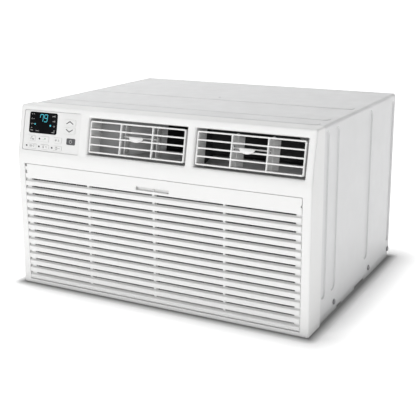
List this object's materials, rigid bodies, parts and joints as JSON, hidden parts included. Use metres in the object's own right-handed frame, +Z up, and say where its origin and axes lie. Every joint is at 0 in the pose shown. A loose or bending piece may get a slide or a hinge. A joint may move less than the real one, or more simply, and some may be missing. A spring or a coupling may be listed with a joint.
{
  "type": "window air conditioner",
  "caption": "Box-shaped room air conditioner for a window or wall sleeve, with a slotted swing-down intake grille, two louvred outlets and a push-button display panel.",
  "frame": {"origin": "middle of the base, on the surface the unit stands on", "axes": "+X to the right seen from the front, +Y from the front to the back, +Z up; the grille faces -Y"},
  "size_m": [0.615, 0.485, 0.36],
  "materials": {
    "white_plastic": "satin moulded ABS, warm white",
    "button_plastic": "satin moulded ABS, cool white",
    "dark_plastic": "fine texture, dark grey",
    "filter_net": "woven nylon net",
    "display_glass": "polished black lens",
    "smoked_plastic": "polished smoked light guide",
    "circuit_board": "green solder mask",
    "duct_plastic": "moulded grey foam and plastic",
    "painted_steel": "white powder coat over sheet steel",
    "zinc_steel": "galvanised sheet",
    "fin_aluminium": "bare fin stock",
    "copper": "drawn copper tube, slightly dull",
    "black_enamel": "baked black enamel",
    "rubber": "moulded black rubber",
    "screw_steel": "dark zinc plated",
    "capacitor_can": "drawn can"
  },
  "bodies": {
    "cabinet": {"base_pan": "painted_steel", "cabinet_wrap": "painted_steel", "rear_grille": "painted_steel", "drain_plug": "rubber", "front_bezel": "white_plastic", "cord_inlet_grommet": "rubber", "control_fascia": "button_plastic", "display_window": "display_glass", "control_board": "circuit_board", "light_guide": "smoked_plastic", "evaporator_coil": "fin_aluminium", "blower_scroll": "duct_plastic", "air_outlet_duct": "duct_plastic", "bulkhead": "zinc_steel", "fan_motor": "black_enamel", "motor_bracket": "zinc_steel", "fan_shroud": "duct_plastic", "condenser_coil": "fin_aluminium", "compressor": "black_enamel", "suction_accumulator": "black_enamel", "discharge_pipe": "copper", "suction_pipe": "copper", "accumulator_outlet_pipe": "copper", "capillary_tube": "copper", "control_box": "zinc_steel", "run_capacitor": "capacitor_can", "compressor_grommet_1": "rubber", "cabinet_screw_left_1": "screw_steel", "cabinet_screw_right_1": "screw_steel", "compressor_grommet_2": "rubber", "cabinet_screw_left_2": "screw_steel", "cabinet_screw_right_2": "screw_steel", "compressor_grommet_3": "rubber", "cabinet_screw_left_3": "screw_steel", "cabinet_screw_right_3": "screw_steel"},
    "intake_door": {"intake_grille": "white_plastic", "filter_frame": "dark_plastic", "filter_mesh": "filter_net"},
    "fan_rotor": {"motor_shaft": "zinc_steel", "blower_wheel": "dark_plastic", "condenser_fan": "dark_plastic"},
    "left_louvre": {"left_louvre_frame": "white_plastic"},
    "left_vane_1_body": {"left_vane_1": "white_plastic"},
    "left_vane_2_body": {"left_vane_2": "white_plastic"},
    "left_vane_link_body": {"left_vane_link": "white_plastic"},
    "right_louvre": {"right_louvre_frame": "white_plastic"},
    "right_vane_1_body": {"right_vane_1": "white_plastic"},
    "right_vane_2_body": {"right_vane_2": "white_plastic"},
    "right_vane_link_body": {"right_vane_link": "white_plastic"},
    "up_button_cap": {"up_button": "button_plastic"},
    "down_button_cap": {"down_button": "button_plastic"},
    "power_button_cap": {"power_button": "dark_plastic"},
    "fan_speed_button_cap": {"fan_speed_button": "button_plastic"},
    "energy_saver_button_cap": {"energy_saver_button": "button_plastic"},
    "mode_button_cap": {"mode_button": "button_plastic"},
    "filter_reset_button_cap": {"filter_reset_button": "button_plastic"},
    "sleep_button_cap": {"sleep_button": "button_plastic"},
    "timer_button_cap": {"timer_button": "button_plastic"}
  },
  "joints": [
    {"name": "intake_door_hinge", "type": "hinge", "parent": "cabinet", "child": "intake_door", "pos_m": [0, -0.2395, 0.012], "axis": [1, 0, 0], "range_deg": [0, 60]},
    {"name": "fan_rotor_spin", "type": "hinge", "parent": "cabinet", "child": "fan_rotor", "pos_m": [0.081, 0, 0.166], "axis": [0, 1, 0], "continuous": true},
    {"name": "left_louvre_tilt", "type": "hinge", "parent": "cabinet", "child": "left_louvre", "pos_m": [-0.039, -0.21776, 0.30851], "axis": [1, 0, 0], "range_deg": [-20, 20]},
    {"name": "left_vane_1_swing", "type": "hinge", "parent": "left_louvre", "child": "left_vane_1_body", "pos_m": [-0.073, -0.20897, 0.30661], "axis": [0, 0.2109, 0.9775], "range_deg": [-52, 18]},
    {"name": "left_vane_2_swing", "type": "hinge", "parent": "left_louvre", "child": "left_vane_2_body", "pos_m": [-0.005, -0.20897, 0.30661], "axis": [0, 0.2109, 0.9775], "range_deg": [-52, 18]},
    {"name": "left_link_pivot", "type": "hinge", "parent": "left_vane_1_body", "child": "left_vane_link_body", "pos_m": [-0.07037, -0.21738, 0.30843], "axis": [0, 0.2109, 0.9775], "range_deg": [-18, 52]},
    {"name": "right_louvre_tilt", "type": "hinge", "parent": "cabinet", "child": "right_louvre", "pos_m": [0.188, -0.21776, 0.30851], "axis": [1, 0, 0], "range_deg": [-20, 20]},
    {"name": "right_vane_1_swing", "type": "hinge", "parent": "right_louvre", "child": "right_vane_1_body", "pos_m": [0.154, -0.20897, 0.30661], "axis": [0, 0.2109, 0.9775], "range_deg": [-17, 53]},
    {"name": "right_vane_2_swing", "type": "hinge", "parent": "right_louvre", "child": "right_vane_2_body", "pos_m": [0.222, -0.20897, 0.30661], "axis": [0, 0.2109, 0.9775], "range_deg": [-17, 53]},
    {"name": "right_link_pivot", "type": "hinge", "parent": "right_vane_1_body", "child": "right_vane_link_body", "pos_m": [0.15122, -0.21734, 0.30842], "axis": [0, 0.2109, 0.9775], "range_deg": [-53, 17]},
    {"name": "up_button_press", "type": "slide", "parent": "cabinet", "child": "up_button_cap", "axis": [0, 0.9775, -0.2109], "range_m": [0, 0.001], "stiffness_N_per_m": 800},
    {"name": "down_button_press", "type": "slide", "parent": "cabinet", "child": "down_button_cap", "axis": [0, 0.9775, -0.2109], "range_m": [0, 0.001], "stiffness_N_per_m": 800},
    {"name": "power_button_press", "type": "slide", "parent": "cabinet", "child": "power_button_cap", "axis": [0, 0.9775, -0.2109], "range_m": [0, 0.001], "stiffness_N_per_m": 800},
    {"name": "fan_speed_button_press", "type": "slide", "parent": "cabinet", "child": "fan_speed_button_cap", "axis": [0, 0.9775, -0.2109], "range_m": [0, 0.001], "stiffness_N_per_m": 800},
    {"name": "energy_saver_button_press", "type": "slide", "parent": "cabinet", "child": "energy_saver_button_cap", "axis": [0, 0.9775, -0.2109], "range_m": [0, 0.001], "stiffness_N_per_m": 800},
    {"name": "mode_button_press", "type": "slide", "parent": "cabinet", "child": "mode_button_cap", "axis": [0, 0.9775, -0.2109], "range_m": [0, 0.001], "stiffness_N_per_m": 800},
    {"name": "filter_reset_button_press", "type": "slide", "parent": "cabinet", "child": "filter_reset_button_cap", "axis": [0, 0.9775, -0.2109], "range_m": [0, 0.001], "stiffness_N_per_m": 800},
    {"name": "sleep_button_press", "type": "slide", "parent": "cabinet", "child": "sleep_button_cap", "axis": [0, 0.9775, -0.2109], "range_m": [0, 0.001], "stiffness_N_per_m": 800},
    {"name": "timer_button_press", "type": "slide", "parent": "cabinet", "child": "timer_button_cap", "axis": [0, 0.9775, -0.2109], "range_m": [0, 0.001], "stiffness_N_per_m": 800}
  ],
  "couplings": [
    {"joint": "left_vane_2_swing", "follows": "left_vane_1_swing", "ratio": 1},
    {"joint": "left_link_pivot", "follows": "left_vane_1_swing", "ratio": -1},
    {"joint": "right_vane_2_swing", "follows": "right_vane_1_swing", "ratio": 1},
    {"joint": "right_link_pivot", "follows": "right_vane_1_swing", "ratio": -1}
  ]
}
